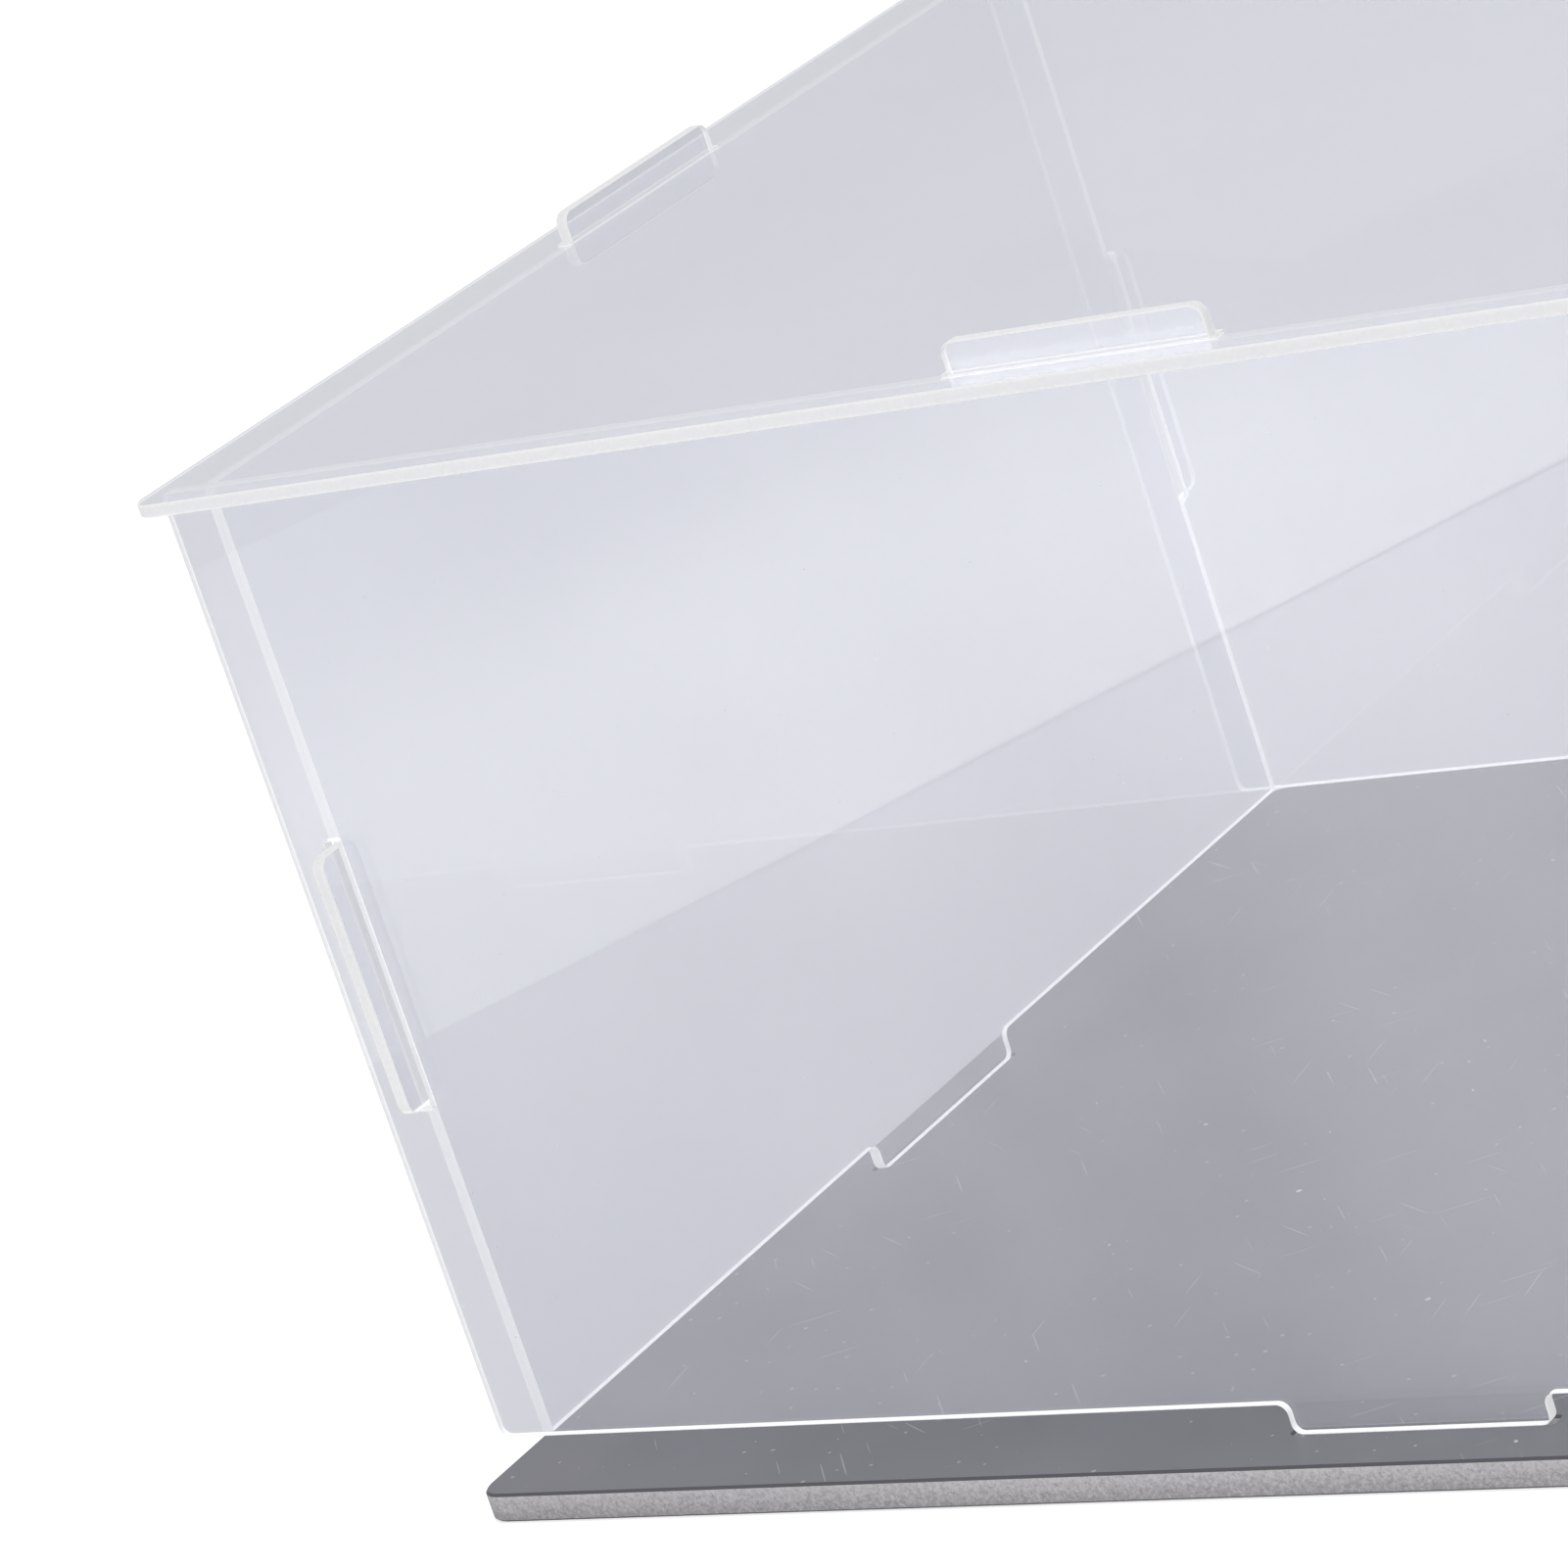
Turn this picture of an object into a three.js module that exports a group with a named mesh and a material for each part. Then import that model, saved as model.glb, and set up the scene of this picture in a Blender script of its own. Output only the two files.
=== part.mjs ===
// A display case that goes together without glue: five clear sheets with tabs and slots, standing on a
// dark base plate. Millimetres, +X to the right, +Y to the back, +Z up. The origin is the middle of the
// base's underside.
import * as THREE from "three";

// The space between the walls, and the walls' height without their tabs.
const INNER_WIDTH = 385;
const INNER_DEPTH = 297;
const WALL_HEIGHT = 194;

// Sheet thicknesses.
const CLEAR_SHEET = 2.6;
const BASE_SHEET = 6;

// How far each sheet runs on past the walls that meet it.
const WALL_OVERHANG = 9;
const TOP_OVERHANG_SIDE = 10.5;
const TOP_OVERHANG_FRONT = 8;
const BASE_MARGIN_SIDE = 9;
const BASE_MARGIN_FRONT = 12.5;

// One tab in the middle of each edge that meets another sheet: its width, and how far it stands out of the
// clear sheet that it passes through.
const TAB_WIDTH = 53;
const TAB_STAND = 5.7;

// Rounded corners of a tab and fillets at its root, where it passes through a clear sheet and where it enters
// the base.
const CLEAR_TAB_CORNER = 2.6;
const CLEAR_TAB_ROOT = 1;
const BASE_TAB_CORNER = 2;
const BASE_TAB_ROOT = 2;

// The walls stand with their lower tabs just entered in the base's slots.
const TAB_ENTRY = 0.4;

// Clearances: a slot round its tab, and a sheet's edge against the face that it seats on.
const SLOT_CLEARANCE = 0.2;
const SLOT_CORNER = 0.5;
const SEAT_GAP = 0.2;

// Rounded corners of the flat sheets, of the panels that stand across the case and of the sheets that butt
// between these, and the straight steps that make a quarter circle.
const FLAT_CORNER = 5;
const CROSS_CORNER = 2;
const BUTT_CORNER = 0.5;
const CORNER_STEPS = 6;

// The tabs that pass through a clear sheet, and the lower ones, which are as long as the base is thick.
const CLEAR_TAB = {
  reach: SEAT_GAP + CLEAR_SHEET + TAB_STAND,
  corner: CLEAR_TAB_CORNER,
  root: CLEAR_TAB_ROOT,
};
const BASE_TAB = { reach: BASE_SHEET, corner: BASE_TAB_CORNER, root: BASE_TAB_ROOT };

// A slot in a clear sheet is longer than its tab by the fillets at the tab's root, so that the sheet seats
// on the edge beside the tab. The base's slots fit the tabs themselves.
const CLEAR_SLOT = TAB_WIDTH + 2 * (CLEAR_TAB_ROOT + SLOT_CLEARANCE);
const BASE_SLOT = TAB_WIDTH + 2 * SLOT_CLEARANCE;

// Places that the pieces share.
const SIDE_WALL_X = INNER_WIDTH / 2 + CLEAR_SHEET / 2;
const FRONT_WALL_Y = INNER_DEPTH / 2 + CLEAR_SHEET / 2;
const WALL_BOTTOM_Z = BASE_SHEET + BASE_TAB.reach - TAB_ENTRY;
const WALL_MIDDLE_Z = WALL_BOTTOM_Z + WALL_HEIGHT / 2;
const TOP_UNDERSIDE_Z = WALL_BOTTOM_Z + WALL_HEIGHT + SEAT_GAP;

const QUARTER = Math.PI / 2;

// Points of a quarter circle about (x, y) from one angle to the next, turning left or right.
function quarterArc(x, y, radius, fromAngle, clockwise) {
  const toAngle = fromAngle + (clockwise ? -QUARTER : QUARTER);
  const arc = new THREE.EllipseCurve(x, y, radius, radius, fromAngle, toAngle, clockwise);
  return arc.getPoints(CORNER_STEPS);
}

// A rectangle with rounded corners about a centre, counter-clockwise.
function roundedRectangle(width, height, radius, centreX = 0, centreY = 0) {
  const points = [];
  for (const [right, up, turns] of [[1, -1, 3], [1, 1, 0], [-1, 1, 1], [-1, -1, 2]]) {
    const x = centreX + right * (width / 2 - radius);
    const y = centreY + up * (height / 2 - radius);
    points.push(...quarterArc(x, y, radius, turns * QUARTER, false));
  }
  return points;
}

// A tab on an edge that lies on the x axis, drawn from right to left with the sheet below it: a filleted
// root, a straight side and a rounded corner at each end.
function tabPoints(tab) {
  const half = TAB_WIDTH / 2;
  const corner = Math.min(tab.corner, tab.reach - tab.root, half);
  const rightEnd = [
    ...quarterArc(half + tab.root, tab.root, tab.root, 3 * QUARTER, true),
    ...quarterArc(half - corner, tab.reach - corner, corner, 0, false),
  ];
  const leftEnd = rightEnd.map((p) => new THREE.Vector2(-p.x, p.y)).reverse();
  return [...rightEnd, ...leftEnd];
}

// A sheet's outline about its middle, counter-clockwise from the lower right corner, with a tab in the
// middle of each edge that has one.
function tabbedOutline(width, height, corner, tabs) {
  const edges = [
    { name: "right", out: width / 2, along: height, turn: -QUARTER },
    { name: "top", out: height / 2, along: width, turn: 0 },
    { name: "left", out: width / 2, along: height, turn: QUARTER },
    { name: "bottom", out: height / 2, along: width, turn: 2 * QUARTER },
  ];
  const middle = new THREE.Vector2(0, 0);
  const points = [];
  for (const edge of edges) {
    const edgePoints = quarterArc(edge.along / 2 - corner, -corner, corner, 0, false);
    if (edge.name in tabs) {
      edgePoints.push(...tabPoints(tabs[edge.name]));
    }
    for (const point of edgePoints) {
      points.push(new THREE.Vector2(point.x, point.y + edge.out).rotateAround(middle, edge.turn));
    }
  }
  return points;
}

// The hole that a tab passes through.
function slotHole(centreX, centreY, length, alongX) {
  const width = CLEAR_SHEET + 2 * SLOT_CLEARANCE;
  const corner = Math.min(SLOT_CORNER, width / 2);
  const outline = alongX
    ? roundedRectangle(length, width, corner, centreX, centreY)
    : roundedRectangle(width, length, corner, centreX, centreY);
  return new THREE.Path(outline.reverse());
}

// Slots for the four walls' tabs, in a sheet that lies flat over or under them.
function wallSlots(length) {
  return [
    slotHole(0, -FRONT_WALL_Y, length, true),
    slotHole(0, FRONT_WALL_Y, length, true),
    slotHole(-SIDE_WALL_X, 0, length, false),
    slotHole(SIDE_WALL_X, 0, length, false),
  ];
}

// A named sheet cut from an outline with holes, lying in its own x and y and rising along its own z.
function sheet(name, outline, holes, thickness, material) {
  const shape = new THREE.Shape(outline);
  shape.holes.push(...holes);
  const geometry = new THREE.ExtrudeGeometry(shape, { depth: thickness, bevelEnabled: false });
  const mesh = new THREE.Mesh(geometry, material);
  mesh.name = name;
  return mesh;
}

function clearAcrylic() {
  return new THREE.MeshStandardMaterial({
    color: 0xd4d6de,
    roughness: 0.05,
    metalness: 0,
    transparent: true,
    opacity: 0.3,
  });
}

function darkAcrylic() {
  return new THREE.MeshStandardMaterial({ color: 0x3f3f44, roughness: 0.3, metalness: 0 });
}

// The base plate lies flat, with a margin all round and a slot under each wall's tab.
function makeBasePlate() {
  const width = INNER_WIDTH + 2 * (CLEAR_SHEET + BASE_MARGIN_SIDE);
  const depth = INNER_DEPTH + 2 * (CLEAR_SHEET + BASE_MARGIN_FRONT);
  const outline = roundedRectangle(width, depth, FLAT_CORNER);
  return sheet("base_plate", outline, wallSlots(BASE_SLOT), BASE_SHEET, darkAcrylic());
}

// The top panel rests on the walls' upper edges, with their tabs standing out through its slots.
function makeTopPanel() {
  const width = INNER_WIDTH + 2 * (CLEAR_SHEET + TOP_OVERHANG_SIDE);
  const depth = INNER_DEPTH + 2 * (CLEAR_SHEET + TOP_OVERHANG_FRONT);
  const outline = roundedRectangle(width, depth, FLAT_CORNER);
  const panel = sheet("top_panel", outline, wallSlots(CLEAR_SLOT), CLEAR_SHEET, clearAcrylic());
  panel.position.z = TOP_UNDERSIDE_Z;
  return panel;
}

// A front or back panel stands across the case, with slots near its ends for the side panels' tabs. Its
// sheet rises towards -Y, from the plane at startY.
function makeCrossPanel(name, startY) {
  const width = INNER_WIDTH + 2 * (CLEAR_SHEET + WALL_OVERHANG);
  const tabs = { top: CLEAR_TAB, bottom: BASE_TAB };
  const outline = tabbedOutline(width, WALL_HEIGHT, CROSS_CORNER, tabs);
  const slots = [slotHole(-SIDE_WALL_X, 0, CLEAR_SLOT, false), slotHole(SIDE_WALL_X, 0, CLEAR_SLOT, false)];
  const panel = sheet(name, outline, slots, CLEAR_SHEET, clearAcrylic());
  panel.rotation.x = QUARTER;
  panel.position.set(0, startY, WALL_MIDDLE_Z);
  return panel;
}

// A side panel butts between the front and back panels, with a tab on each of its four edges. Its sheet
// rises towards +X, from the plane at startX.
function makeSidePanel(name, startX) {
  const length = INNER_DEPTH - 2 * SEAT_GAP;
  const tabs = { top: CLEAR_TAB, left: CLEAR_TAB, right: CLEAR_TAB, bottom: BASE_TAB };
  const outline = tabbedOutline(length, WALL_HEIGHT, BUTT_CORNER, tabs);
  const panel = sheet(name, outline, [], CLEAR_SHEET, clearAcrylic());
  panel.rotation.set(QUARTER, QUARTER, 0);
  panel.position.set(startX, 0, WALL_MIDDLE_Z);
  return panel;
}

const displayCase = new THREE.Group();
displayCase.add(
  makeBasePlate(),
  makeCrossPanel("front_panel", -INNER_DEPTH / 2),
  makeCrossPanel("back_panel", INNER_DEPTH / 2 + CLEAR_SHEET),
  makeSidePanel("left_panel", -INNER_WIDTH / 2 - CLEAR_SHEET),
  makeSidePanel("right_panel", INNER_WIDTH / 2),
  makeTopPanel(),
);

export default displayCase;
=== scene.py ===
"""A clear display case: five acrylic sheets with tabs and slots, standing on a dark base plate.

Each sheet is a chamfered copy of its solid, with clear faces and bright cut edges. Lengths are in metres.
"""
import math

import bmesh
import bpy
from mathutils import Matrix, Vector


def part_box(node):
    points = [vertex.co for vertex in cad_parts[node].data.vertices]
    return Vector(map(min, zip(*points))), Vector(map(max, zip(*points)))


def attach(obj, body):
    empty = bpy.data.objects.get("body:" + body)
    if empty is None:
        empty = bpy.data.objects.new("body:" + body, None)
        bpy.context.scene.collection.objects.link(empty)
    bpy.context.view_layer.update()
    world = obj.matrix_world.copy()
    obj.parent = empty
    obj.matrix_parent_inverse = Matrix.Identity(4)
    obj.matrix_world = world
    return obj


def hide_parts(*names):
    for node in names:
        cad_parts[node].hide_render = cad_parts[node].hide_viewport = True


bl_info = {
    "name": "Acrylic display case",
    "version": (1, 0, 0),
    "blender": (4, 5, 0),
    "location": "View3D > Sidebar > Display case",
    "description": "Clear tab-and-slot sheets with bright cut edges on a dark base plate",
    "category": "Object",
}

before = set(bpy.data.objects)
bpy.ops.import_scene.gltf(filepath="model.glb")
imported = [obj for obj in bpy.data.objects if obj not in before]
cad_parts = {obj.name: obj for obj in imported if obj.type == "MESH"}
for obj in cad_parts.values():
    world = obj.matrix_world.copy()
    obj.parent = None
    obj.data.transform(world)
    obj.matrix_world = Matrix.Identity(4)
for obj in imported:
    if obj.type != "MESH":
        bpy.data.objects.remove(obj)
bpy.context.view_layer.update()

WALLS = {
    "front_panel": "front_sheet",
    "back_panel": "back_sheet",
    "left_panel": "left_sheet",
    "right_panel": "right_sheet",
}
WHITE = (1.0, 1.0, 1.0)

# What counts as one point, a flat joint, a smooth bend and a rim in the copy of a solid.
SAME_POINT = 0.000005
FLAT_ANGLE = math.radians(1)
SMOOTH_ANGLE = math.radians(20)
CORNER_ANGLE = math.radians(40)

# A face takes the sheet's face finish where its normal follows the thickness by more than this, and its edge
# finish elsewhere. The base's chamfers count as faces, those of the clear sheets as edges.
CLEAR_FACE_LIMIT = 0.9
BASE_FACE_LIMIT = 0.5

# The middle of a sheet's thickness, and how far from it the base's chamfered rims reach.
MIDDLE = 0.5
RIM_START = 0.499

# How strongly marks show on the clear sheets and on the base.
SHEET_DUST = 0.3
SHEET_HAIRLINES = 0.06
BASE_DUST = 0.5
BASE_CRUMBS = 1.0
BASE_SCRATCHES = 0.35

# Directions of the base's scratches, and the share of their cells that hold one.
SCRATCH_DIRECTIONS = ((0.6, 0.5), (-0.9, 0.5), (1.7, 0.35), (2.6, 0.35))

# How much lighter the base's mottle is, how much darker its rims are in painted shade, and how much its
# roughness varies.
MOTTLE_LIGHTER = 1.1
RIM_DARKER = 0.5
SMEARS = 0.02

# The mean of a noise, and how much the sawn edge's chips and its upper part add to the grain.
NOISE_MEAN = 0.5
CHIPS_SHARE = 0.8
UPPER_SHARE = 0.5

# Where most of the light comes from, as the cut edges see it, and the heights between which their stronger
# glow near the base fades. The cut edges' glow is painted light, given out by the edges themselves.
LAMP_DIRECTION = (0.2, -0.35, 0.85)
GLOW_LOW = 0.06
GLOW_HIGH = 0.13

# Softboxes and the spot that lights the floor.
CASE_MIDDLE = (0.0, 0.0, 0.1)
FRONT_SOFTBOX = (0.75, -1.45, 0.95)
FRONT_SOFTBOX_SIZE = 0.8
SIDE_SOFTBOX = (-0.83, -1.35, 0.575)
SIDE_SOFTBOX_SIZE = 0.34
TOP_SOFTBOX = (0.2, -0.1, 1.5)
TOP_SOFTBOX_SIZE = 1.0
SPOT_PLACE = (-0.34, -0.64)
SPOT_HEIGHT = 1.2
SPOT_ANGLE = math.radians(28)
SPOT_RADIUS = 0.05

# The floor just under the base, the paint and glow that make it white to the camera, and the board on it
# with the light that it gives out at each corner.
FLOOR_HEIGHT = -0.0002
WHITE_PAINT = (0.65, 0.65, 0.65)
WHITE_GLOW = 0.6
BOARD_HEIGHT = 0.0008
BOARD_COLOUR = (0.9, 0.9, 0.9)
BOARD_CORNERS = ((-0.432, -0.284), (-0.864, -0.493), (-0.562, -1.119), (-0.13, -0.91))
BOARD_LIGHT = (0.75, 0.25, 0.05, 0.05)

# The floor's grey patch at the left of the case, a painted shade: its middle, and how far from there it
# fades and ends.
GREY_MIDDLE = (-0.25, 0.1, 0.0)
GREY_INSIDE = 0.2
GREY_OUTSIDE = 0.36

# The camera's sensor, in millimetres.
SENSOR_WIDTH = 36.0


class ClearSheetSettings(bpy.types.PropertyGroup):
    """Sizes and colours of the five clear sheets."""

    chamfer: bpy.props.FloatProperty(
        name="Chamfer",
        description="Width of the small chamfer that the cutter leaves along each edge",
        default=0.00025,
        min=0.00001,
        unit="LENGTH",
        precision=5,
    )
    tint: bpy.props.FloatVectorProperty(
        name="Tint",
        description="Colour that one sheet gives to what is seen through it",
        default=(0.916, 0.921, 0.951),
        min=0.0,
        max=1.0,
        subtype="COLOR",
    )
    haze: bpy.props.FloatProperty(
        name="Haze",
        description="Share of the light that the fine film of dust on one face scatters",
        default=0.13,
        min=0.0,
        max=0.3,
        subtype="FACTOR",
    )
    index: bpy.props.FloatProperty(
        name="Refractive index",
        description="How strongly the acrylic bends light",
        default=1.49,
        min=1.0,
        max=2.0,
    )
    edge: bpy.props.FloatVectorProperty(
        name="Cut edge",
        description="Colour of the frosted cut edges",
        default=(0.335, 0.332, 0.328),
        min=0.0,
        max=1.0,
        subtype="COLOR",
    )
    # Painted highlight: a cut edge takes this darker colour in its middle and the paler edge colour along
    # its two rims.
    edge_middle: bpy.props.FloatVectorProperty(
        name="Middle of the edge",
        description="Colour halfway across a cut edge, where less light comes out",
        default=(0.29, 0.29, 0.3),
        min=0.0,
        max=1.0,
        subtype="COLOR",
    )
    # Painted glow: the cut edges give out this light themselves, in place of light carried out of the sheet.
    glow: bpy.props.FloatProperty(
        name="Edge glow",
        description="Light from inside the sheet that comes out of any cut edge",
        default=0.46,
        min=0.0,
        max=1.0,
    )
    # Painted glow, made stronger near the base.
    painted_low_glow: bpy.props.FloatProperty(
        name="Glow near the base",
        description="How many times stronger that light is near the base",
        default=1.15,
        min=1.0,
        max=2.0,
    )
    # Painted glow, made stronger where an edge points away from the lamps.
    painted_piped_glow: bpy.props.FloatProperty(
        name="Piped light",
        description="More light where an edge points away from the lamps",
        default=0.34,
        min=0.0,
        max=1.0,
    )


class BaseSettings(bpy.types.PropertyGroup):
    """Sizes and colours of the base plate."""

    chamfer: bpy.props.FloatProperty(
        name="Chamfer",
        description="Width of the chamfer along the base's rims",
        default=0.0005,
        min=0.00001,
        unit="LENGTH",
        precision=5,
    )
    face: bpy.props.FloatVectorProperty(
        name="Face",
        description="Colour of the dark acrylic",
        default=(0.147, 0.1455, 0.1625),
        min=0.0,
        max=1.0,
        subtype="COLOR",
    )
    roughness: bpy.props.FloatProperty(
        name="Roughness",
        description="Roughness of the satin faces",
        default=0.34,
        min=0.0,
        max=1.0,
        subtype="FACTOR",
    )
    dust: bpy.props.FloatVectorProperty(
        name="Dust",
        description="Colour of the dust specks and scratches",
        default=(0.55, 0.548, 0.55),
        min=0.0,
        max=1.0,
        subtype="COLOR",
    )
    edge_light: bpy.props.FloatVectorProperty(
        name="Sawn edge, light",
        description="Paler grain of the frosted sawn edge",
        default=(0.556, 0.539, 0.54),
        min=0.0,
        max=1.0,
        subtype="COLOR",
    )
    edge_dark: bpy.props.FloatVectorProperty(
        name="Sawn edge, dark",
        description="Darker grain of the frosted sawn edge",
        default=(0.278, 0.269, 0.272),
        min=0.0,
        max=1.0,
        subtype="COLOR",
    )


class StageSettings(bpy.types.PropertyGroup):
    """The floor, the light and the camera."""

    floor_size: bpy.props.FloatProperty(
        name="Floor",
        description="Width and depth of the floor",
        default=12.0,
        min=1.0,
        unit="LENGTH",
    )
    floor: bpy.props.FloatVectorProperty(
        name="Floor colour",
        description="Colour of the floor where the object's light falls on it",
        default=(0.66, 0.66, 0.67),
        min=0.0,
        max=1.0,
        subtype="COLOR",
    )
    # Painted shade: the floor is greyer at the left of the case in what the sheets show.
    grey_floor: bpy.props.FloatVectorProperty(
        name="Grey floor",
        description="Colour of the floor at the left of the case, as the sheets show it",
        default=(0.57, 0.57, 0.58),
        min=0.0,
        max=1.0,
        subtype="COLOR",
    )
    surroundings: bpy.props.FloatVectorProperty(
        name="Surroundings",
        description="Colour of the room's light all round",
        default=(0.612, 0.617, 0.655),
        min=0.0,
        max=1.0,
        subtype="COLOR",
    )
    seen_through: bpy.props.FloatProperty(
        name="White in the sheets",
        description="How much of the white background shows in gloss and through the clear sheets",
        default=0.2,
        min=0.0,
        max=1.0,
        subtype="FACTOR",
    )
    key_power: bpy.props.FloatProperty(
        name="Front softbox",
        description="Power of the large softbox at the front right",
        default=11.0,
        min=0.0,
        unit="POWER",
    )
    side_power: bpy.props.FloatProperty(
        name="Side softbox",
        description="Power of the small softbox at the front left, which shows in the top's front tab",
        default=1.8,
        min=0.0,
        unit="POWER",
    )
    top_power: bpy.props.FloatProperty(
        name="Top softbox",
        description="Power of the softbox above",
        default=4.2,
        min=0.0,
        unit="POWER",
    )
    floor_power: bpy.props.FloatProperty(
        name="Floor spot",
        description="Power of the spot that lights the floor in front of the case",
        default=68.0,
        min=0.0,
        unit="POWER",
    )
    look_at: bpy.props.FloatVectorProperty(
        name="Look at",
        description="Point in the middle of the picture",
        default=(-0.16743, -0.0502, 0.1),
        subtype="XYZ",
        unit="LENGTH",
    )
    distance: bpy.props.FloatProperty(
        name="Distance",
        description="From the camera to that point",
        default=1.40931,
        min=0.1,
        unit="LENGTH",
    )
    azimuth: bpy.props.FloatProperty(
        name="Azimuth",
        description="How far the camera stands round from the front towards the right",
        default=math.radians(38.268),
        subtype="ANGLE",
    )
    elevation: bpy.props.FloatProperty(
        name="Elevation",
        description="How far the camera stands above the horizon",
        default=math.radians(16.55),
        subtype="ANGLE",
    )
    roll: bpy.props.FloatProperty(
        name="Roll",
        description="How far the camera leans over",
        default=math.radians(-18.8),
        subtype="ANGLE",
    )
    lens: bpy.props.FloatProperty(
        name="Lens",
        description="Focal length on a sensor 36 mm wide",
        default=166.017,
        min=1.0,
        unit="CAMERA",
    )


class DisplayCaseSettings(bpy.types.PropertyGroup):
    """All the settings of the display case."""

    sheets: bpy.props.PointerProperty(type=ClearSheetSettings)
    base: bpy.props.PointerProperty(type=BaseSettings)
    stage: bpy.props.PointerProperty(type=StageSettings)


# Small helpers for node trees.
def add_node(tree, kind, **values):
    """A new node with its settings."""
    node = tree.nodes.new(kind)
    for name, value in values.items():
        setattr(node, name, value)
    return node


def feed(tree, value, socket):
    """Links an output to a socket, or sets the socket to a plain value."""
    if isinstance(value, bpy.types.NodeSocket):
        tree.links.new(value, socket)
    else:
        socket.default_value = value


def feed_colour(tree, colour, socket):
    """Links a colour's output to a socket, or sets the socket to a plain colour."""
    feed(tree, colour if isinstance(colour, bpy.types.NodeSocket) else (*colour, 1.0), socket)


def calculate(tree, operation, *values, clamp=False):
    """The output of a Math node."""
    node = add_node(tree, "ShaderNodeMath", operation=operation, use_clamp=clamp)
    for value, socket in zip(values, node.inputs):
        feed(tree, value, socket)
    return node.outputs["Value"]


def ramp(tree, value, low, high, to_low=0.0, to_high=1.0):
    """A value eased from one range to another."""
    node = add_node(tree, "ShaderNodeMapRange", interpolation_type="SMOOTHSTEP")
    for name, setting in (
        ("Value", value),
        ("From Min", low),
        ("From Max", high),
        ("To Min", to_low),
        ("To Max", to_high),
    ):
        feed(tree, setting, node.inputs[name])
    return node.outputs["Result"]


def mix_colour(tree, share, first, second):
    """A mix of two colours, on the node's own colour sockets."""
    node = add_node(tree, "ShaderNodeMix", data_type="RGBA", clamp_factor=True)
    feed(tree, share, node.inputs["Factor"])
    feed_colour(tree, first, node.inputs[6])
    feed_colour(tree, second, node.inputs[7])
    return node.outputs[2]


def noise(tree, coords, grain, detail):
    """Noise whose patches are about as wide as grain."""
    node = add_node(tree, "ShaderNodeTexNoise")
    feed(tree, coords, node.inputs["Vector"])
    node.inputs["Scale"].default_value = 1 / grain
    node.inputs["Detail"].default_value = detail
    return node.outputs["Fac"]


def specks(tree, coords, spacing, size, share, stretch=(1.0, 1.0, 1.0), turn=(0.0, 0.0, 0.0), space="3D"):
    """A mask of scattered marks: round specks, or fine scratches where they are stretched one way."""
    mapping = add_node(tree, "ShaderNodeMapping", vector_type="TEXTURE")
    mapping.inputs["Rotation"].default_value = turn
    mapping.inputs["Scale"].default_value = [spacing * s for s in stretch]
    feed(tree, coords, mapping.inputs["Vector"])
    cells = add_node(tree, "ShaderNodeTexVoronoi", voronoi_dimensions=space)
    cells.inputs["Scale"].default_value = 1.0
    feed(tree, mapping.outputs["Vector"], cells.inputs["Vector"])
    chance = add_node(tree, "ShaderNodeSeparateColor")
    feed(tree, cells.outputs["Color"], chance.inputs["Color"])
    radius = calculate(tree, "MULTIPLY", chance.outputs["Green"], size / spacing)
    inside = calculate(tree, "LESS_THAN", cells.outputs["Distance"], radius)
    chosen = calculate(tree, "LESS_THAN", chance.outputs["Red"], share)
    return calculate(tree, "MULTIPLY", inside, chosen)


def new_material(name):
    """A node material, its shader and the coordinates of the piece."""
    material = bpy.data.materials.new(name)
    material.use_nodes = True
    tree = material.node_tree
    shader = tree.nodes["Principled BSDF"]
    coords = add_node(tree, "ShaderNodeTexCoord").outputs["Object"]
    return material, tree, shader, coords


def add_bump(tree, shader, height, distance):
    """Fine relief on a shader."""
    node = add_node(tree, "ShaderNodeBump")
    node.inputs["Distance"].default_value = distance
    feed(tree, height, node.inputs["Height"])
    feed(tree, node.outputs["Normal"], shader.inputs["Normal"])


def stored(tree, name):
    """A value that the mesh carries."""
    return add_node(tree, "ShaderNodeAttribute", attribute_name=name).outputs["Fac"]


def off_middle(tree):
    """How far a point lies from the middle of its sheet's thickness, from 0 to 0.5 at the faces."""
    return calculate(tree, "ABSOLUTE", calculate(tree, "SUBTRACT", stored(tree, "across"), MIDDLE))


# Finishes.
def clear_acrylic(settings):
    """Clear sheet with a thin film of dust, a few specks and hairline scratches."""
    material, tree, shader, coords = new_material("clear_acrylic")
    film = noise(tree, coords, grain=0.12, detail=3.0)
    dust = specks(tree, coords, spacing=0.006, size=0.00025, share=0.6)
    hairlines = specks(
        tree,
        coords,
        spacing=0.009,
        size=0.0004,
        share=0.5,
        stretch=(8.0, 1.0, 8.0),
        turn=(0.5, 0.3, 0.9),
    )
    haze = calculate(tree, "MULTIPLY", ramp(tree, film, 0.25, 0.75, to_low=0.7, to_high=1.3), settings.haze)
    haze = calculate(tree, "MULTIPLY_ADD", dust, SHEET_DUST, haze)
    haze = calculate(tree, "MULTIPLY_ADD", hairlines, SHEET_HAIRLINES, haze)
    feed(tree, calculate(tree, "SUBTRACT", 1.0, haze, clamp=True), shader.inputs["Transmission Weight"])
    shader.inputs["Base Color"].default_value = (*settings.tint, 1.0)
    shader.inputs["IOR"].default_value = settings.index
    shader.inputs["Roughness"].default_value = 0.0
    add_bump(tree, shader, noise(tree, coords, grain=0.11, detail=1.0), distance=0.0001)
    return material


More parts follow.
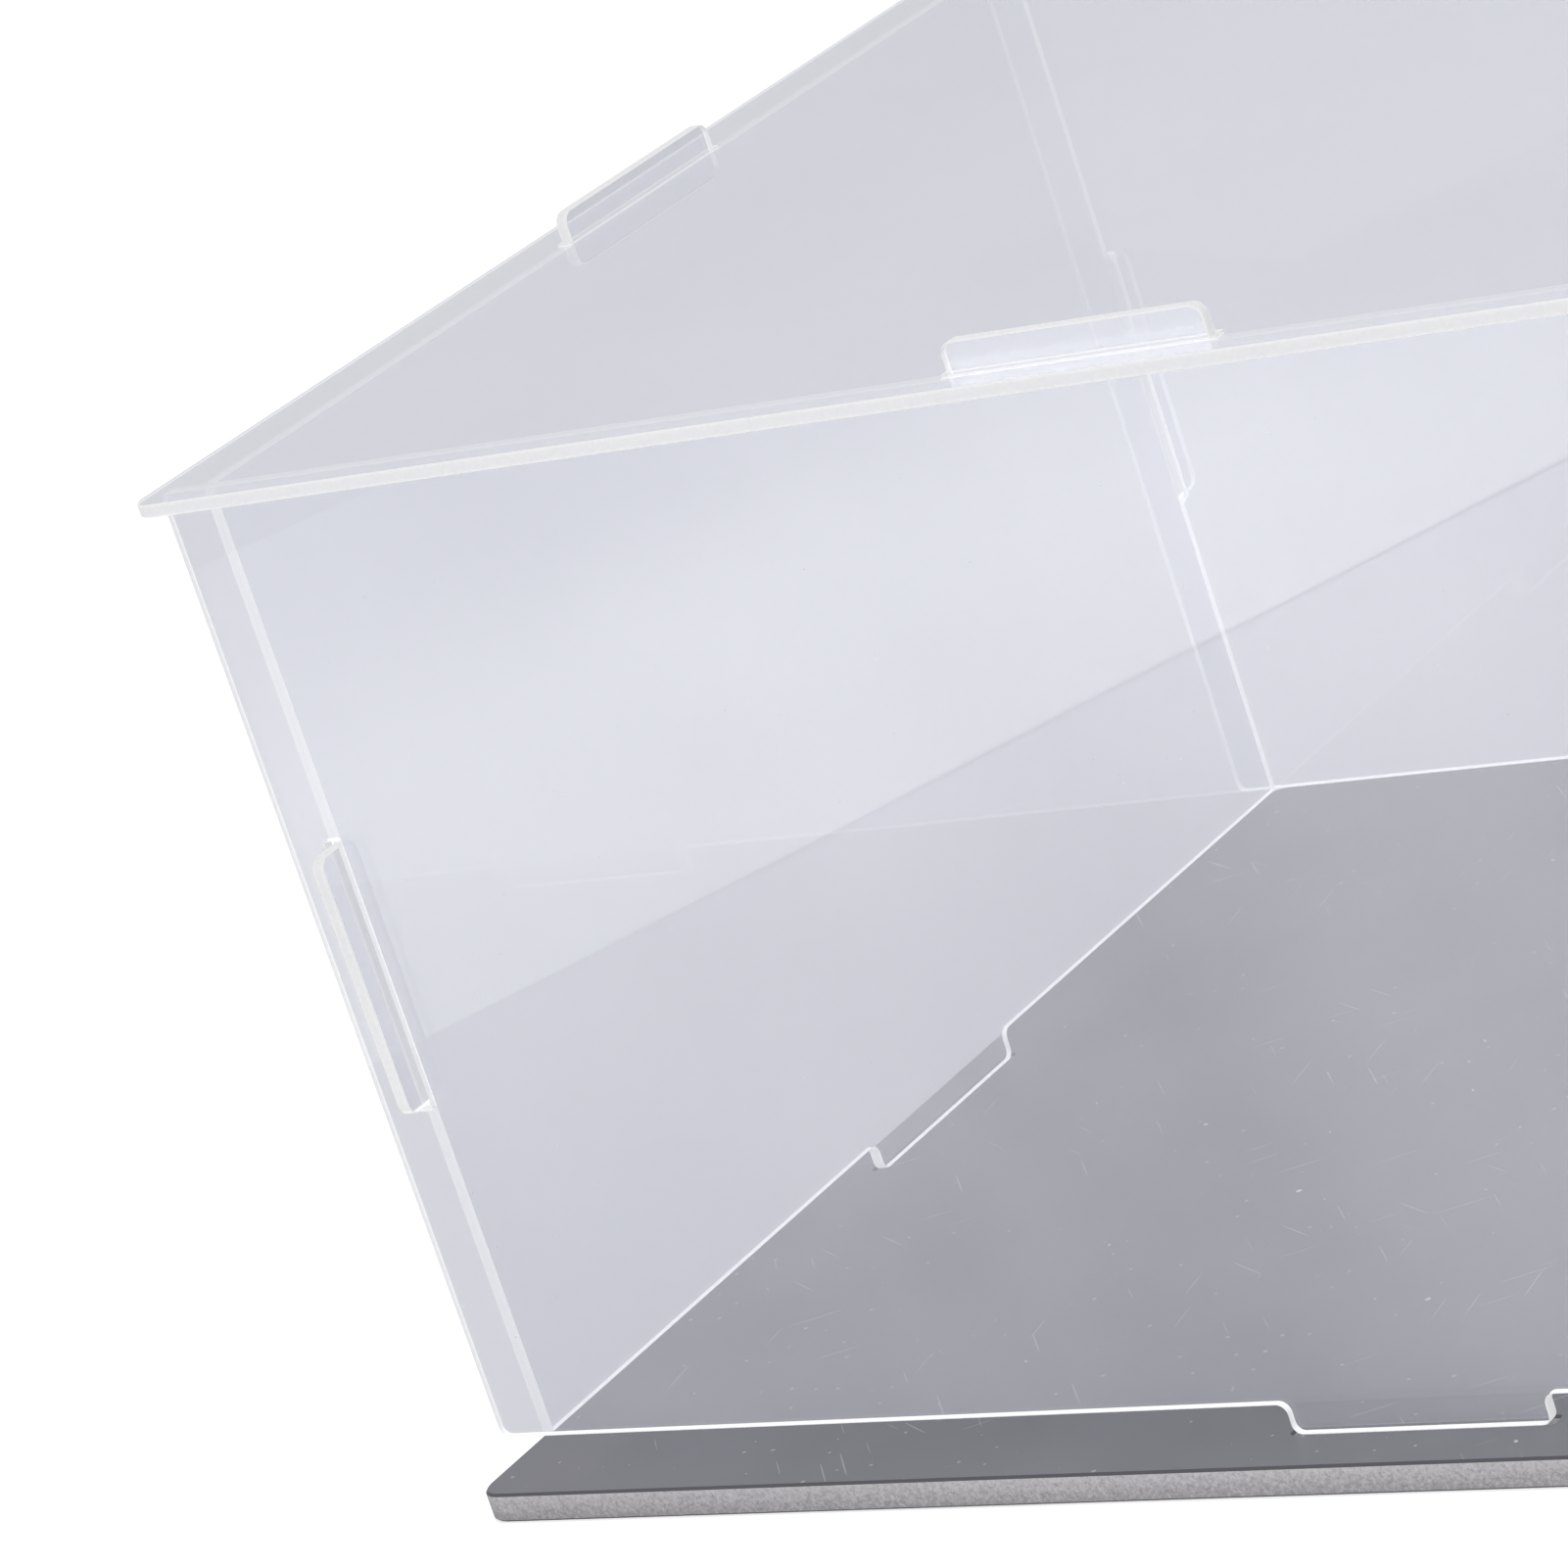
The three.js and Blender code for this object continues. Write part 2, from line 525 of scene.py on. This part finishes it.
def cut_edge(settings):
    """Frosted cut edge with a painted glow, given out by the edge itself in place of light carried out of
    its sheet, and a painted highlight along its two rims.
    """
    material, tree, shader, coords = new_material("cut_edge")
    # Painted highlight along the two rims of the cut edge.
    rims = ramp(tree, off_middle(tree), 0.2, 0.42)
    colour = mix_colour(tree, rims, settings.edge_middle, settings.edge)
    grain = noise(tree, coords, grain=0.0009, detail=3.0)
    dull = ramp(tree, grain, 0.5, 0.8, to_low=0.0, to_high=0.3)
    feed(tree, mix_colour(tree, dull, colour, settings.edge_middle), shader.inputs["Base Color"])
    feed(tree, ramp(tree, grain, 0.3, 0.7, to_low=0.35, to_high=0.6), shader.inputs["Roughness"])
    shader.inputs["IOR"].default_value = settings.index
    # Painted glow: light given out by the cut edge itself, stronger near the base and where the edge points
    # away from the lamps.
    place = add_node(tree, "ShaderNodeSeparateXYZ")
    feed(tree, coords, place.inputs["Vector"])
    low = ramp(tree, place.outputs["Z"], GLOW_LOW, GLOW_HIGH, to_low=settings.painted_low_glow, to_high=1.0)
    glow = calculate(tree, "MULTIPLY", low, settings.glow)
    light = calculate(tree, "MULTIPLY_ADD", stored(tree, "away"), settings.painted_piped_glow, glow)
    light = calculate(tree, "MULTIPLY", light, ramp(tree, grain, 0.3, 0.8, to_low=1.02, to_high=0.97))
    shader.inputs["Emission Color"].default_value = (*WHITE, 1.0)
    feed(tree, light, shader.inputs["Emission Strength"])
    add_bump(tree, shader, grain, distance=0.00003)
    return material


def base_marks(tree, coords):
    """A mask of the dust, crumbs and short scratches on the base's faces."""
    dust = specks(tree, coords, spacing=0.0065, size=0.00045, share=0.45, space="2D")
    crumbs = specks(tree, coords, spacing=0.045, size=0.0007, share=0.5, space="2D")
    marks = calculate(tree, "MULTIPLY", dust, BASE_DUST)
    marks = calculate(tree, "MULTIPLY_ADD", crumbs, BASE_CRUMBS, marks)
    for angle, share in SCRATCH_DIRECTIONS:
        scratches = specks(
            tree,
            coords,
            spacing=0.0035,
            size=0.0002,
            share=share,
            stretch=(30.0, 1.0, 1.0),
            turn=(0.0, 0.0, angle),
            space="2D",
        )
        marks = calculate(tree, "MULTIPLY_ADD", scratches, BASE_SCRATCHES, marks, clamp=True)
    return marks


def dark_acrylic(settings):
    """Dark satin acrylic with dust and short fine scratches, and painted shade along its rims."""
    material, tree, shader, coords = new_material("dark_acrylic")
    mottle = noise(tree, coords, grain=0.06, detail=4.0)
    lighter = [MOTTLE_LIGHTER * c for c in settings.face]
    colour = mix_colour(tree, ramp(tree, mottle, 0.3, 0.7), settings.face, lighter)
    colour = mix_colour(tree, base_marks(tree, coords), colour, settings.dust)
    # Painted shade: the chamfered rims take a darker copy of the face colour.
    rim = calculate(tree, "LESS_THAN", off_middle(tree), RIM_START)
    shaded = [RIM_DARKER * c for c in settings.face]
    feed(tree, mix_colour(tree, rim, colour, shaded), shader.inputs["Base Color"])
    smears = noise(tree, coords, grain=0.025, detail=5.0)
    smoothest = settings.roughness - SMEARS
    roughest = settings.roughness + SMEARS
    feed(tree, ramp(tree, smears, 0.3, 0.7, smoothest, roughest), shader.inputs["Roughness"])
    add_bump(tree, shader, noise(tree, coords, grain=0.0012, detail=2.0), distance=0.000004)
    return material


def sawn_edge(settings):
    """Frosted sawn edge of the base, mottled with small chips and paler towards the top."""
    material, tree, shader, coords = new_material("sawn_edge")
    grain = noise(tree, coords, grain=0.0009, detail=3.0)
    chips = calculate(tree, "SUBTRACT", noise(tree, coords, grain=0.00035, detail=2.0), NOISE_MEAN)
    mottle = calculate(tree, "MULTIPLY_ADD", chips, CHIPS_SHARE, grain)
    paler = calculate(tree, "MULTIPLY_ADD", stored(tree, "across"), UPPER_SHARE, mottle)
    colour = mix_colour(tree, ramp(tree, paler, 0.3, 1.2), settings.edge_dark, settings.edge_light)
    feed(tree, colour, shader.inputs["Base Color"])
    feed(tree, ramp(tree, grain, 0.3, 0.7, to_low=0.55, to_high=0.8), shader.inputs["Roughness"])
    add_bump(tree, shader, mottle, distance=0.00012)
    return material


# Sheets.
def sheet_tree():
    """Geometry nodes that finish a sheet by the way its faces point: faces, cut edges and shading."""
    tree = bpy.data.node_groups.new("Cut sheet", "GeometryNodeTree")
    tree.is_modifier = True
    sockets = tree.interface
    for name, kind in (
        ("Geometry", "Geometry"),
        ("Thickness direction", "Vector"),
        ("Start", "Float"),
        ("Thickness", "Float"),
        ("Lamp direction", "Vector"),
        ("Face limit", "Float"),
        ("Face finish", "Material"),
        ("Edge finish", "Material"),
    ):
        sockets.new_socket(name, in_out="INPUT", socket_type="NodeSocket" + kind)
    sockets.new_socket("Geometry", in_out="OUTPUT", socket_type="NodeSocketGeometry")
    given = add_node(tree, "NodeGroupInput").outputs
    result = add_node(tree, "NodeGroupOutput").inputs

    def along(vector, direction):
        node = add_node(tree, "ShaderNodeVectorMath", operation="DOT_PRODUCT")
        feed(tree, vector, node.inputs[0])
        feed(tree, given[direction], node.inputs[1])
        return node.outputs["Value"]

    def store(geometry, name, domain, value):
        node = add_node(tree, "GeometryNodeStoreNamedAttribute", data_type="FLOAT", domain=domain)
        node.inputs["Name"].default_value = name
        feed(tree, geometry, node.inputs["Geometry"])
        feed(tree, value, node.inputs["Value"])
        return node.outputs["Geometry"]

    position = add_node(tree, "GeometryNodeInputPosition").outputs["Position"]
    normal = add_node(tree, "GeometryNodeInputNormal").outputs["Normal"]
    depth = calculate(tree, "SUBTRACT", along(position, "Thickness direction"), given["Start"])
    depth = calculate(tree, "DIVIDE", depth, given["Thickness"])
    marked = store(given["Geometry"], "across", "POINT", depth)
    # How far a face points away from the lamps, which makes the cut edges' painted glow stronger.
    away = calculate(tree, "MULTIPLY", along(normal, "Lamp direction"), -1.0, clamp=True)
    marked = store(marked, "away", "FACE", away)

    rounded = add_node(tree, "GeometryNodeSetShadeSmooth", domain="FACE")
    feed(tree, marked, rounded.inputs["Geometry"])
    rounded.inputs["Shade Smooth"].default_value = True
    bend = add_node(tree, "GeometryNodeInputMeshEdgeAngle").outputs["Unsigned Angle"]
    creased = add_node(tree, "GeometryNodeSetShadeSmooth", domain="EDGE")
    feed(tree, rounded.outputs["Geometry"], creased.inputs["Geometry"])
    feed(tree, calculate(tree, "GREATER_THAN", bend, SMOOTH_ANGLE), creased.inputs["Selection"])
    creased.inputs["Shade Smooth"].default_value = False

    facing = calculate(tree, "ABSOLUTE", along(normal, "Thickness direction"))
    whole = add_node(tree, "GeometryNodeRealizeInstances")
    feed(tree, creased.outputs["Geometry"], whole.inputs["Geometry"])
    faced = add_node(tree, "GeometryNodeSetMaterial")
    feed(tree, whole.outputs["Geometry"], faced.inputs["Geometry"])
    feed(tree, given["Face finish"], faced.inputs["Material"])
    edged = add_node(tree, "GeometryNodeSetMaterial")
    feed(tree, faced.outputs["Geometry"], edged.inputs["Geometry"])
    feed(tree, calculate(tree, "LESS_THAN", facing, given["Face limit"]), edged.inputs["Selection"])
    feed(tree, given["Edge finish"], edged.inputs["Material"])
    feed(tree, edged.outputs["Geometry"], result["Geometry"])
    return tree


def chamfered_copy(node, name, chamfer):
    """An object with a copy of a solid: points merged, flat facets joined and every rim chamfered."""
    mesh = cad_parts[node].data.copy()
    mesh.name = name
    mesh.materials.clear()
    shape = bmesh.new()
    shape.from_mesh(mesh)
    bmesh.ops.remove_doubles(shape, verts=shape.verts, dist=SAME_POINT)
    bmesh.ops.dissolve_limit(shape, angle_limit=FLAT_ANGLE, verts=shape.verts, edges=shape.edges)
    rims = [edge for edge in shape.edges if edge.calc_face_angle(0.0) > CORNER_ANGLE]
    bmesh.ops.bevel(
        shape,
        geom=rims,
        offset=chamfer,
        offset_type="OFFSET",
        segments=1,
        profile=0.5,
        affect="EDGES",
        clamp_overlap=False,
    )
    shape.to_mesh(mesh)
    shape.free()
    for attribute in [a for a in mesh.attributes if a.name == "custom_normal"]:
        mesh.attributes.remove(attribute)
    piece = bpy.data.objects.new(name, mesh)
    bpy.context.scene.collection.objects.link(piece)
    return piece


def make_sheet(node, name, chamfer, face_limit, face_finish, edge_finish):
    """A finished sheet in place of its solid."""
    piece = chamfered_copy(node, name, chamfer)
    low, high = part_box(node)
    extent = high - low
    axis = min(range(3), key=lambda i: extent[i])
    tree = bpy.data.node_groups.get("Cut sheet") or sheet_tree()
    modifier = piece.modifiers.new("Cut sheet", "NODES")
    modifier.node_group = tree
    values = {
        "Thickness direction": [1.0 if i == axis else 0.0 for i in range(3)],
        "Start": low[axis],
        "Thickness": extent[axis],
        "Lamp direction": LAMP_DIRECTION,
        "Face limit": face_limit,
        "Face finish": face_finish,
        "Edge finish": edge_finish,
    }
    for socket in tree.interface.items_tree:
        if socket.in_out == "INPUT" and socket.name in values:
            modifier[socket.identifier] = values[socket.name]
    graph = bpy.context.evaluated_depsgraph_get()
    finished = bpy.data.meshes.new_from_object(piece.evaluated_get(graph), depsgraph=graph)
    piece.modifiers.remove(modifier)
    piece.data = finished
    finished.name = name
    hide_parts(node)
    return piece


def make_clear_sheet(node, name, body, settings):
    """A clear sheet that lets the lamps light what it covers."""
    face = bpy.data.materials.get("clear_acrylic") or clear_acrylic(settings)
    edge = bpy.data.materials.get("cut_edge") or cut_edge(settings)
    piece = make_sheet(node, name, settings.chamfer, CLEAR_FACE_LIMIT, face, edge)
    piece.visible_shadow = False
    piece.visible_diffuse = False
    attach(piece, body)


class CASE_OT_make_base(bpy.types.Operator):
    """Make the dark base plate with its sawn edges"""

    bl_idname = "case.make_base"
    bl_label = "Base plate"

    def execute(self, context):
        settings = context.scene.display_case.base
        face = dark_acrylic(settings)
        edge = sawn_edge(settings)
        piece = make_sheet("base_plate", "base_sheet", settings.chamfer, BASE_FACE_LIMIT, face, edge)
        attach(piece, "base")
        return {"FINISHED"}


class CASE_OT_make_walls(bpy.types.Operator):
    """Make the four clear walls"""

    bl_idname = "case.make_walls"
    bl_label = "Walls"

    def execute(self, context):
        settings = context.scene.display_case.sheets
        for node, name in WALLS.items():
            make_clear_sheet(node, name, "walls", settings)
        return {"FINISHED"}


class CASE_OT_make_top(bpy.types.Operator):
    """Make the clear top"""

    bl_idname = "case.make_top"
    bl_label = "Top"

    def execute(self, context):
        make_clear_sheet("top_panel", "top_sheet", "top", context.scene.display_case.sheets)
        return {"FINISHED"}


# Stage.
def make_camera(settings):
    """A camera at the photograph's place."""
    flat = math.cos(settings.elevation)
    outward = Vector(
        (
            math.sin(settings.azimuth) * flat,
            -math.cos(settings.azimuth) * flat,
            math.sin(settings.elevation),
        )
    )
    data = bpy.data.cameras.new("camera")
    data.sensor_width = SENSOR_WIDTH
    data.lens = settings.lens
    camera = bpy.data.objects.new("camera", data)
    turn = outward.to_track_quat("Z", "Y").to_matrix() @ Matrix.Rotation(settings.roll, 3, "Z")
    place = Vector(settings.look_at) + outward * settings.distance
    camera.matrix_world = Matrix.Translation(place) @ turn.to_4x4()
    bpy.context.scene.collection.objects.link(camera)
    bpy.context.scene.camera = camera


def make_lamp(name, kind, place, power, aim, mirrored, **values):
    """A lamp that faces a point. It shows in gloss and through the sheets only where it is mirrored."""
    data = bpy.data.lights.new(name, kind)
    data.energy = power
    for setting, value in values.items():
        setattr(data, setting, value)
    lamp = bpy.data.objects.new(name, data)
    place = Vector(place)
    turn = (place - Vector(aim)).to_track_quat("Z", "Y").to_matrix()
    lamp.matrix_world = Matrix.Translation(place) @ turn.to_4x4()
    lamp.visible_camera = False
    lamp.visible_glossy = mirrored
    lamp.visible_transmission = mirrored
    bpy.context.scene.collection.objects.link(lamp)


def make_lamps(settings):
    """Soft light from the front and above, and a spot on the floor that the front panel mirrors."""
    for name, place, size, power, mirrored in (
        ("front_softbox", FRONT_SOFTBOX, FRONT_SOFTBOX_SIZE, settings.key_power, False),
        ("side_softbox", SIDE_SOFTBOX, SIDE_SOFTBOX_SIZE, settings.side_power, True),
        ("top_softbox", TOP_SOFTBOX, TOP_SOFTBOX_SIZE, settings.top_power, False),
    ):
        make_lamp(name, "AREA", place, power, CASE_MIDDLE, mirrored, size=size)
    spot = {"spot_size": SPOT_ANGLE, "spot_blend": 1.0, "shadow_soft_size": SPOT_RADIUS}
    above = (*SPOT_PLACE, SPOT_HEIGHT)
    make_lamp("floor_spot", "SPOT", above, settings.floor_power, (*SPOT_PLACE, 0.0), False, **spot)


def background_share(tree, seen_through):
    """How white the background is to a ray: all white to the camera, less in gloss and through a sheet."""
    path = add_node(tree, "ShaderNodeLightPath").outputs
    bent = calculate(tree, "ADD", path["Is Glossy Ray"], path["Is Transmission Ray"], clamp=True)
    return calculate(tree, "MULTIPLY_ADD", bent, seen_through, path["Is Camera Ray"], clamp=True)


def glowing_paint(tree, colour, strength):
    """A matt colour that also gives out some white light of its own."""
    paint = add_node(tree, "ShaderNodeBsdfDiffuse")
    feed_colour(tree, colour, paint.inputs["Color"])
    light = add_node(tree, "ShaderNodeEmission")
    feed(tree, strength, light.inputs["Strength"])
    both = add_node(tree, "ShaderNodeAddShader")
    feed(tree, paint.outputs["BSDF"], both.inputs[0])
    feed(tree, light.outputs["Emission"], both.inputs[1])
    return both.outputs["Shader"]


def off_grey(tree):
    """A share that goes from 0 on the floor's grey patch of painted shade to 1 round it."""
    distance = add_node(tree, "ShaderNodeVectorMath", operation="DISTANCE")
    feed(tree, add_node(tree, "ShaderNodeTexCoord").outputs["Object"], distance.inputs[0])
    distance.inputs[1].default_value = GREY_MIDDLE
    return ramp(tree, distance.outputs["Value"], GREY_INSIDE, GREY_OUTSIDE)


def stage_finish(name, colour, seen_through, grey=None):
    """A pale surface that is white to the camera, with the object's shadow on it and, where given, a grey
    patch of painted shade.
    """
    material = bpy.data.materials.new(name)
    material.use_nodes = True
    tree = material.node_tree
    tree.nodes.remove(tree.nodes["Principled BSDF"])
    # Painted shade: a grey patch on the floor at the left of the case.
    if grey:
        colour = mix_colour(tree, off_grey(tree), grey, colour)
    mix = add_node(tree, "ShaderNodeMixShader")
    feed(tree, background_share(tree, seen_through), mix.inputs["Fac"])
    feed(tree, glowing_paint(tree, colour, stored(tree, "light")), mix.inputs[1])
    feed(tree, glowing_paint(tree, WHITE_PAINT, WHITE_GLOW), mix.inputs[2])
    feed(tree, mix.outputs["Shader"], tree.nodes["Material Output"].inputs["Surface"])
    return material


def make_ground(name, corners, height, finish, light):
    """A flat stage surface, with the light that it gives out at each corner."""
    mesh = bpy.data.meshes.new(name)
    mesh.from_pydata([(*corner, height) for corner in corners], [], [range(len(corners))])
    mesh.attributes.new("light", "FLOAT", "POINT").data.foreach_set("value", light)
    mesh.materials.append(finish)
    ground = bpy.data.objects.new(name, mesh)
    bpy.context.scene.collection.objects.link(ground)


def make_floor(settings):
    """A wide flat floor just under the base, and a white board on it that the front panel mirrors."""
    half = settings.floor_size / 2
    corners = [(-half, -half), (half, -half), (half, half), (-half, half)]
    pale = stage_finish("floor", settings.floor, settings.seen_through, settings.grey_floor)
    white = stage_finish("white_board", BOARD_COLOUR, settings.seen_through)
    make_ground("floor", corners, FLOOR_HEIGHT, pale, [0.0] * len(corners))
    make_ground("white_board", BOARD_CORNERS, BOARD_HEIGHT, white, BOARD_LIGHT)


def make_surroundings(settings):
    """Even light from all round, which the camera itself sees as white."""
    world = bpy.data.worlds.new("surroundings")
    world.use_nodes = True
    tree = world.node_tree
    share = background_share(tree, settings.seen_through)
    shown = mix_colour(tree, share, settings.surroundings, WHITE)
    feed(tree, shown, tree.nodes["Background"].inputs["Color"])
    bpy.context.scene.world = world


class CASE_OT_make_stage(bpy.types.Operator):
    """Make the floor, the lamps and the camera"""

    bl_idname = "case.make_stage"
    bl_label = "Stage"

    def execute(self, context):
        settings = context.scene.display_case.stage
        context.scene.view_settings.view_transform = "Standard"
        make_camera(settings)
        make_floor(settings)
        make_surroundings(settings)
        make_lamps(settings)
        return {"FINISHED"}


class CASE_PT_sidebar(bpy.types.Panel):
    """Makes the display case piece by piece"""

    bl_idname = "CASE_PT_sidebar"
    bl_label = "Display case"
    bl_space_type = "VIEW_3D"
    bl_region_type = "UI"
    bl_category = "Display case"

    def draw(self, context):
        for step in STEPS:
            self.layout.operator(step.bl_idname)


STEPS = (CASE_OT_make_stage, CASE_OT_make_base, CASE_OT_make_walls, CASE_OT_make_top)
CLASSES = (
    ClearSheetSettings,
    BaseSettings,
    StageSettings,
    DisplayCaseSettings,
    *STEPS,
    CASE_PT_sidebar,
)


def register():
    for item in CLASSES:
        bpy.utils.register_class(item)
    bpy.types.Scene.display_case = bpy.props.PointerProperty(type=DisplayCaseSettings)


def unregister():
    del bpy.types.Scene.display_case
    for item in reversed(CLASSES):
        bpy.utils.unregister_class(item)


def main():
    register()
    bpy.ops.case.make_stage()
    bpy.ops.case.make_base()
    bpy.ops.case.make_walls()
    bpy.ops.case.make_top()


if __name__ == "__main__":
    main()
